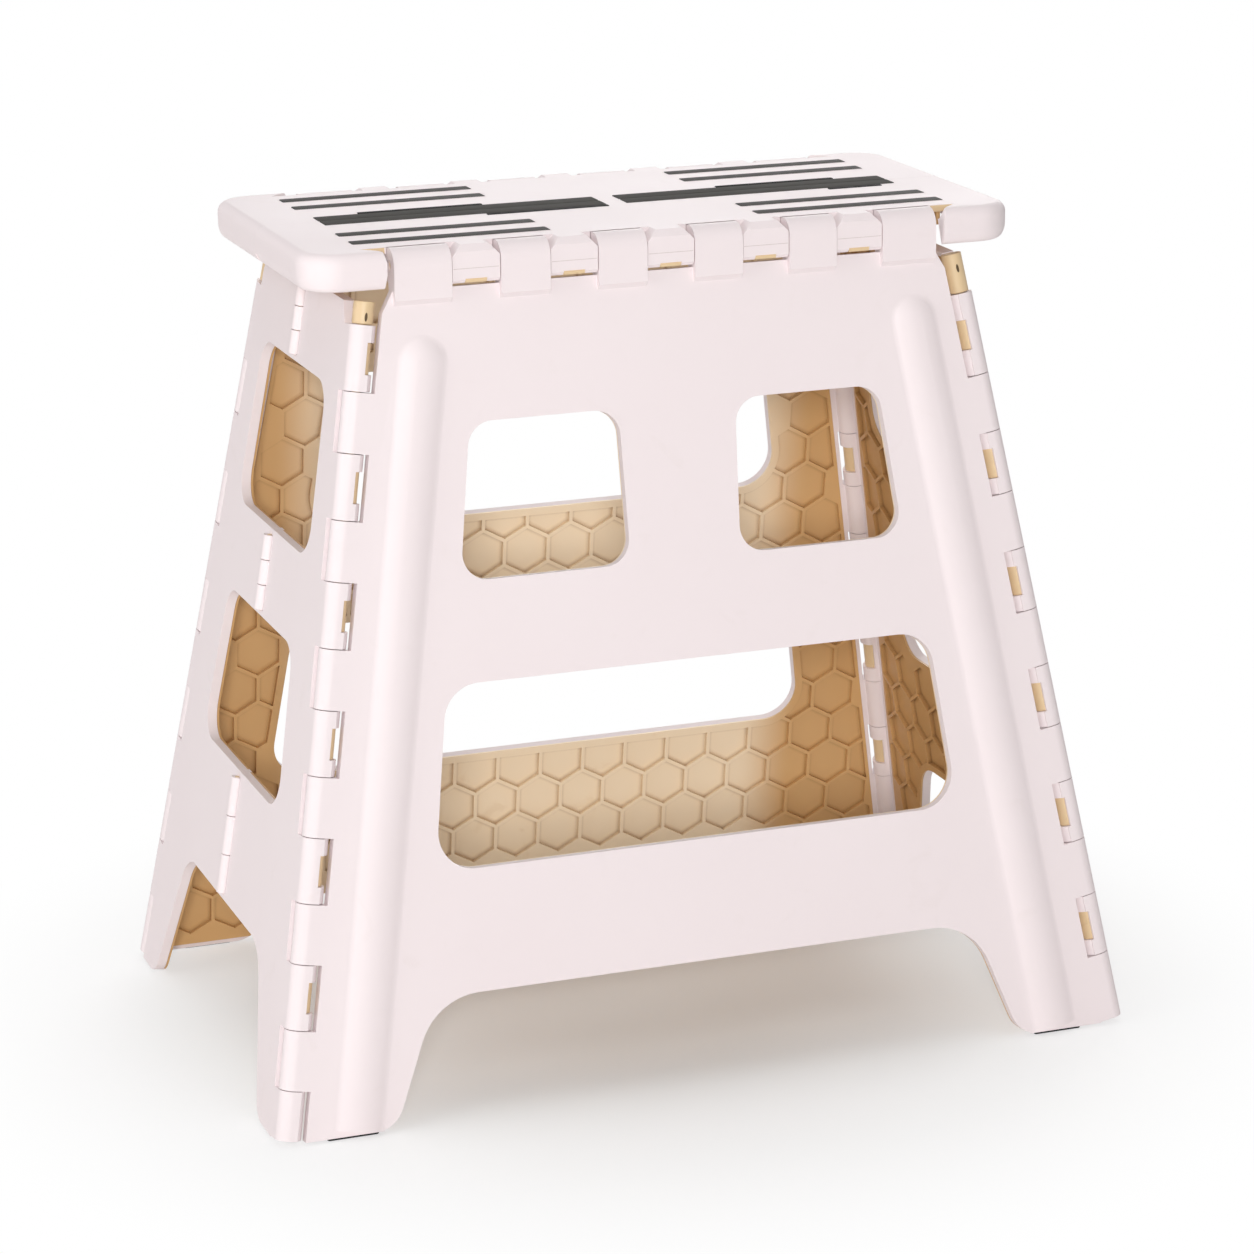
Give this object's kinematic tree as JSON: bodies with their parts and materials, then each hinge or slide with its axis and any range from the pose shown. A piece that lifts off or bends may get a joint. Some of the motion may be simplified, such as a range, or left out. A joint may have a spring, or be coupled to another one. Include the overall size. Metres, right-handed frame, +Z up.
{
  "type": "folding step stool",
  "caption": "Folding plastic step stool with sloping windowed panels, honeycomb inside walls, knuckled corner hinges and a ribbed seat in two halves with dark grip strips.",
  "frame": {"origin": "on the floor under the middle of the seat, with the stool open", "axes": "+X along the length of the seat to the right, -Y towards the front, +Z up"},
  "size_m": [0.4186, 0.2738, 0.3903],
  "materials": {
    "shell": "satin blush white",
    "liner": "satin tan",
    "rod": "satin tan",
    "grip": "matt dark grey",
    "wide_grip": "matt mid grey",
    "pad": "matt black"
  },
  "bodies": {
    "front_panel": {"front_panel_shell": "shell", "front_panel_liner": "liner", "front_left_foot_pad": "pad", "front_right_foot_pad": "pad"},
    "left_front_side": {"left_front_side_shell": "shell", "left_front_side_liner": "liner", "front_left_corner_rod": "rod"},
    "left_back_side": {"left_back_side_shell": "shell", "left_back_side_liner": "liner", "back_left_corner_rod": "rod", "left_fold_pins": "rod"},
    "back_panel": {"back_panel_shell": "shell", "back_panel_liner": "liner", "back_left_foot_pad": "pad", "back_right_foot_pad": "pad"},
    "right_front_side": {"right_front_side_shell": "shell", "right_front_side_liner": "liner", "front_right_corner_rod": "rod", "right_fold_pins": "rod"},
    "right_back_side": {"right_back_side_shell": "shell", "right_back_side_liner": "liner", "back_right_corner_rod": "rod"},
    "seat_front": {"seat_front_left_edge_strip": "grip", "seat_front_left_inner_strip": "grip", "seat_front_left_outer_strip": "grip", "seat_front_left_wide_strip": "wide_grip", "seat_front_liner": "liner", "seat_front_right_edge_strip": "grip", "seat_front_right_inner_strip": "grip", "seat_front_right_outer_strip": "grip", "seat_front_right_wide_strip": "wide_grip", "seat_front_rod": "rod", "seat_front_shell": "shell", "seat_seam_rod": "rod"},
    "seat_back": {"seat_back_left_edge_strip": "grip", "seat_back_left_inner_strip": "grip", "seat_back_left_outer_strip": "grip", "seat_back_left_wide_strip": "wide_grip", "seat_back_liner": "liner", "seat_back_right_edge_strip": "grip", "seat_back_right_inner_strip": "grip", "seat_back_right_outer_strip": "grip", "seat_back_right_wide_strip": "wide_grip", "seat_back_rod": "rod", "seat_back_shell": "shell"}
  },
  "joints": [
    {"name": "front_left_corner_hinge", "type": "hinge", "parent": "front_panel", "child": "left_front_side", "pos_m": [-0.2035, -0.1279, 0], "axis": [-0.1664, -0.1455, -0.9753], "range_deg": [0, 89.42]},
    {"name": "left_fold_hinge", "type": "hinge", "parent": "left_front_side", "child": "left_back_side", "pos_m": [-0.20971, 0, 0.00106], "axis": [0.1682, 0, 0.9858], "range_deg": [0, 180]},
    {"name": "back_left_corner_hinge", "type": "hinge", "parent": "left_back_side", "child": "back_panel", "pos_m": [-0.2035, 0.1279, 0], "axis": [-0.1664, 0.1455, -0.9753], "range_deg": [0, 91.42]},
    {"name": "front_right_corner_hinge", "type": "hinge", "parent": "front_panel", "child": "right_front_side", "pos_m": [0.2035, -0.1279, 0], "axis": [-0.1664, 0.1455, 0.9753], "range_deg": [0, 91.42]},
    {"name": "back_right_corner_hinge", "type": "hinge", "parent": "back_panel", "child": "right_back_side", "pos_m": [0.2035, 0.1279, 0], "axis": [0.1664, 0.1455, -0.9753], "range_deg": [0, 91.42]},
    {"name": "seat_front_edge_hinge", "type": "hinge", "parent": "front_panel", "child": "seat_front", "pos_m": [0, -0.074, 0.382], "axis": [1, 0, 0], "range_deg": [0, 81.51]},
    {"name": "seat_back_edge_hinge", "type": "hinge", "parent": "back_panel", "child": "seat_back", "pos_m": [0, 0.074, 0.382], "axis": [-1, 0, 0], "range_deg": [0, 81.51]}
  ],
  "couplings": [
    {"joint": "left_fold_hinge", "follows": "front_left_corner_hinge", "ratio": 1.9689},
    {"joint": "back_left_corner_hinge", "follows": "front_left_corner_hinge", "ratio": 1},
    {"joint": "front_right_corner_hinge", "follows": "front_left_corner_hinge", "ratio": 1},
    {"joint": "back_right_corner_hinge", "follows": "front_left_corner_hinge", "ratio": 1},
    {"joint": "seat_front_edge_hinge", "follows": "front_left_corner_hinge", "ratio": 0.89162},
    {"joint": "seat_back_edge_hinge", "follows": "front_left_corner_hinge", "ratio": 0.89162}
  ]
}
